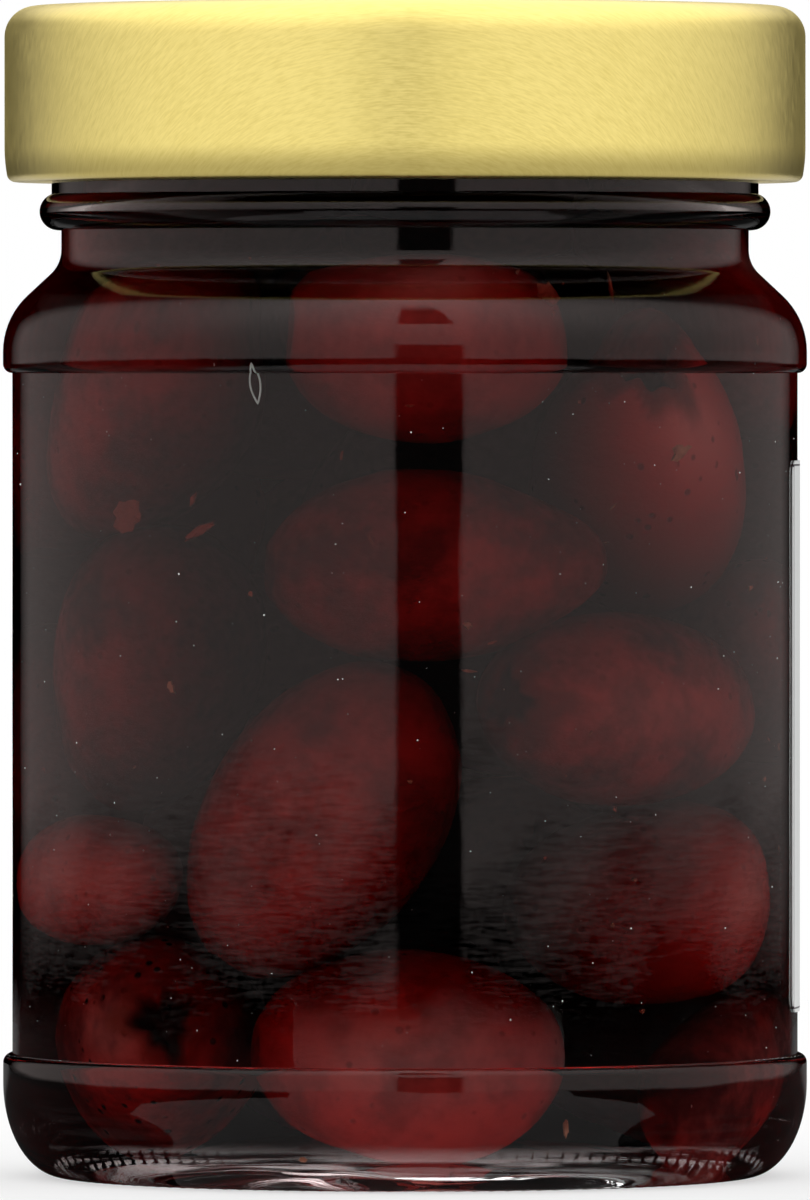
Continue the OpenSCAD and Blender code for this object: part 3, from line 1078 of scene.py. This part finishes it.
def build_blister_highlight():
    """A pale wire along the outline of a long pointed air bubble in the glass, a painted highlight for the
    bright rim that light gives the bubble.
    """
    turn = math.radians(BLISTER_AZIMUTH)
    distance = PANEL_R - BLISTER_IN
    centre = np.array([distance * math.sin(turn), -distance * math.cos(turn), BLISTER_Z])
    sideways = np.array([math.cos(turn), math.sin(turn), 0])
    outward = np.array([math.sin(turn), -math.cos(turn), 0])
    steps, ring = BLISTER_STEPS, BLISTER_RING
    angle = np.arange(steps) * FULL_TURN / steps
    lean = math.radians(BLISTER_LEAN)
    path = []
    for a in angle:
        across = BLISTER_WIDTH / 2 * math.sin(a)
        up = BLISTER_LENGTH / 2 * (2 * abs(a / math.pi - 1) - 1)
        shifted = across * math.cos(lean) - up * math.sin(lean)
        raised = up * math.cos(lean) + across * math.sin(lean)
        path.append(centre + sideways * shifted + np.array([0, 0, raised]))
    path = np.array(path)
    points, faces = [], []
    for k in range(steps):
        tangent = path[(k + 1) % steps] - path[k - 1]
        tangent /= np.linalg.norm(tangent)
        side = np.cross(tangent, outward)
        for j in range(ring):
            a = j * FULL_TURN / ring
            points.append(path[k] + BLISTER_WIRE * (side * math.cos(a) + outward * math.sin(a)))
        for j in range(ring):
            m, n = (j + 1) % ring, (k + 1) % steps
            faces.append((k * ring + j, k * ring + m, n * ring + m, n * ring + j))
    add_piece("blister_painted_highlight", np.array(points), faces, [speck_and_highlight_material()], sharp=180)


# ---- stage
EYE_Z = 0.075
AIM_Z = 0.0528
CAMERA_AWAY = 1.58
LENS = 517.0
FLOOR_SIZE = 0.55
FLOOR_FADE = 0.30
FLOOR_CORNERS = 64
FLOOR_DIM = (0.93, 0.93, 0.93)
FLOOR_PALE = (0.96, 0.96, 0.96)
BOUNCES = 20


def build_camera():
    """A long lens straight in front of the jar."""
    data = bpy.data.cameras.new("camera")
    data.lens = LENS
    data.clip_start = 0.05
    data.clip_end = 20.0
    camera = bpy.data.objects.new("camera", data)
    camera.location = (0.0, -CAMERA_AWAY, EYE_Z)
    camera.rotation_euler = (math.pi / 2 - math.atan((EYE_Z - AIM_Z) / CAMERA_AWAY), 0.0, 0.0)
    bpy.context.scene.collection.objects.link(camera)
    bpy.context.scene.camera = camera


# The floor mirrored in the glass: how many degrees round from the front it is lit, by distance from
# the axis in metres, and what it is there, beside that and at the back.
LIT_LEFT = ((0.03, 38), (0.042, 42), (0.06, 62), (0.09, 66), (0.2, 31), (0.5, 31))
LIT_RIGHT = ((0.03, 35), (0.042, 38), (0.06, 55), (0.09, 58), (0.2, 45), (0.5, 45))
LIT_FLOOR = (0.35, 0.33, 0.33)
UNLIT = 0.02
UNLIT_BACK = 0.10
BACK_FROM = (148.0, 158.0)
# The floor seen through the glass: bright streaks round the axis, out to the bearing ring.
STREAK_SCALE = 700.0
STREAK_TURN = 0.06
STREAK_LIGHT = 2.4
STREAKS_END = (0.0310, 0.0335)
BEYOND_RING = 0.06
# What the floor lights the olives with, and how much plain white the camera sees on it.
FRUIT_LIGHT = 0.95
CAMERA_WHITE = 0.55


def floor_material():
    """Pale and matt for the camera, with its own look in the glass and through it."""
    material, n = new_material("pale_floor")
    place = n.place()
    x, y, _ = n.split(place)
    distance = n.distance(x, y)
    rays = n.add("ShaderNodeLightPath").outputs
    colour = n.mix(n.noise(place, 12.0), FLOOR_DIM, FLOOR_PALE)

    side = n.math("DEGREES", n.math("ARCTAN2", x, n.times(y, -1.0)))
    left, right = n.steps(distance, LIT_LEFT), n.steps(distance, LIT_RIGHT)
    lit_side = n.times(n.math("GREATER_THAN", n.plus(side, left), 0.0), n.math("LESS_THAN", side, right))
    grey = n.smooth(n.math("ABSOLUTE", side), *BACK_FROM, UNLIT, UNLIT_BACK)
    mirrored = n.mix(lit_side, n.join(grey, grey, grey), LIT_FLOOR)
    in_glass = n.times(rays["Is Singular Ray"], rays["Is Reflection Ray"])
    matt = n.add("ShaderNodeBsdfDiffuse", {"Color": n.mix(in_glass, colour, mirrored)}).outputs[0]

    around = n.join(distance, n.times(x, STREAK_TURN), n.times(y, STREAK_TURN))
    streak = n.noise(around, STREAK_SCALE, 3.0, 0.7)
    seen = n.times(n.smooth(streak, 0.46, 0.54), STREAK_LIGHT)
    seen = n.times(seen, n.smooth(distance, *STREAKS_END, 1.0, BEYOND_RING))
    seen = n.blend(n.math("MINIMUM", rays["Diffuse Depth"], 1.0), seen, FRUIT_LIGHT)
    through = n.add("ShaderNodeEmission", {"Strength": seen}).outputs[0]

    white = n.add("ShaderNodeEmission", {"Strength": 1.0}).outputs[0]
    clear = n.add("ShaderNodeBsdfTransparent").outputs[0]
    shade = n.mix_shaders(rays["Is Transmission Ray"], matt, through)
    shade = n.mix_shaders(n.times(rays["Is Camera Ray"], CAMERA_WHITE), shade, white)
    shade = n.mix_shaders(n.smooth(distance, FLOOR_FADE, FLOOR_SIZE * 0.97), shade, clear)
    n.add("ShaderNodeOutputMaterial", {"Surface": shade})
    return material


def build_floor():
    """A pale disc that fades away towards its rim."""
    mesh = bpy.data.meshes.new("floor")
    turn = np.arange(FLOOR_CORNERS) * FULL_TURN / FLOOR_CORNERS
    rim = [(FLOOR_SIZE * math.cos(a), FLOOR_SIZE * math.sin(a), 0.0) for a in turn]
    mesh.from_pydata(rim, [], [tuple(range(FLOOR_CORNERS))])
    mesh.materials.append(floor_material())
    floor = bpy.data.objects.new("floor", mesh)
    bpy.context.scene.collection.objects.link(floor)


# The soft boxes that the glass mirrors: their brightness by degrees round from the front and by
# degrees up. Above LIFT_FROM they end LIFT degrees nearer to the front for each degree up.
BOX_TINT = (1.08, 0.93, 0.90)
BOX_ROUND = ((0, 1.0), (90, 1.0), (120, 0.8), (145, 0.5), (156, 0.0), (180, 0.0))
BOX_UP = ((-90, 0.0), (-1.95, 0.0), (-1.6, 0.5), (25, 0.62), (50, 0.88), (90, 1.25))
LIFT_FROM = 10.0
LIFT = 0.8
# The dark gap between the boxes, the strip that crosses it, and the height where it ends.
GAP = (-2.5, 16.5)
GAP_SOFT = 2.2
GAP_DARK = 0.95
CROSSING = (10.0, 41.0)
CROSSING_SOFT = 3.0
GAP_END = (60.0, 75.0)
# The room that lights matt things.
ROOM_UP = ((-90, 0.7), (0, 0.6), (30, 0.9), (60, 1.25), (90, 1.3))
# What the satin lid mirrors, with a duller middle, and darker where the lid is seen through the glass.
SATIN_ROUND = ((0, 1.0), (70, 1.0), (115, 0.62), (140, 0.12), (150, 0.0), (180, 0.0))
SATIN_UP = ((-90, 0.05), (-40, 0.10), (-22, 0.35), (-8, 0.95), (0, 1.22), (30, 1.5), (60, 1.8), (90, 1.8))
SATIN_OVERHEAD = (13.0, 32.0)
SATIN_MIDDLE = (-8.0, 6.0)
SATIN_MIDDLE_SOFT = 6.0
SATIN_MIDDLE_DARK = 0.45
GLASS_DEPTH = 2.5
GLASS_DARK = 0.65


def build_world():
    """A white room with a soft box at each side that meet overhead, dark behind and below."""
    world = bpy.data.worlds.new("studio")
    bpy.context.scene.world = world
    world.cycles.sampling_method = "NONE"
    n = Nodes(world)
    x, y, z = n.split(n.add("ShaderNodeTexCoord").outputs["Generated"])
    elevation = n.math("DEGREES", n.math("ARCSINE", z))
    azimuth = n.math("DEGREES", n.math("ARCTAN2", x, n.times(y, -1.0)))
    sideways = n.math("ABSOLUTE", azimuth)
    rays = n.add("ShaderNodeLightPath").outputs

    def dimmed(level, share, dark):
        return n.times(level, n.minus(1.0, n.times(share, dark)))

    lift = n.times(n.math("MAXIMUM", n.minus(elevation, LIFT_FROM), 0.0), LIFT)
    boxes = n.times(n.steps(n.plus(sideways, lift), BOX_ROUND), n.steps(elevation, BOX_UP))
    gap = dimmed(n.between(azimuth, *GAP, GAP_SOFT), n.between(elevation, *CROSSING, CROSSING_SOFT), 1.0)
    gap = n.times(gap, n.smooth(elevation, *GAP_END, 1.0, 0.0))
    boxes = dimmed(boxes, gap, GAP_DARK)

    satin = n.math("MAXIMUM", n.steps(sideways, SATIN_ROUND), n.smooth(elevation, *SATIN_OVERHEAD))
    satin = n.times(satin, n.steps(elevation, SATIN_UP))
    satin = dimmed(satin, n.math("GREATER_THAN", rays["Ray Depth"], GLASS_DEPTH), GLASS_DARK)
    satin = dimmed(satin, n.between(azimuth, *SATIN_MIDDLE, SATIN_MIDDLE_SOFT), SATIN_MIDDLE_DARK)
    is_satin = dimmed(rays["Is Glossy Ray"], rays["Is Singular Ray"], 1.0)
    is_satin = n.times(is_satin, rays["Is Reflection Ray"])

    level = n.blend(rays["Is Diffuse Ray"], boxes, n.steps(elevation, ROOM_UP))
    level = n.blend(is_satin, level, satin)
    level = n.blend(rays["Is Camera Ray"], level, 1.0)
    tint = n.mix(rays["Is Singular Ray"], (1.0, 1.0, 1.0), BOX_TINT)
    background = n.add("ShaderNodeBackground", {"Color": tint, "Strength": level})
    n.add("ShaderNodeOutputWorld", {"Surface": background.outputs[0]})


def build_stage():
    """The camera, the floor and the light."""
    scene = bpy.context.scene
    scene.view_settings.view_transform = "Standard"
    scene.cycles.max_bounces = BOUNCES
    scene.cycles.transmission_bounces = BOUNCES
    build_camera()
    build_floor()
    build_world()


build_stage()
build_glass()
build_brine()
build_lid()
build_label()
build_olives()
build_crumbs()
build_specks()
build_blister_highlight()
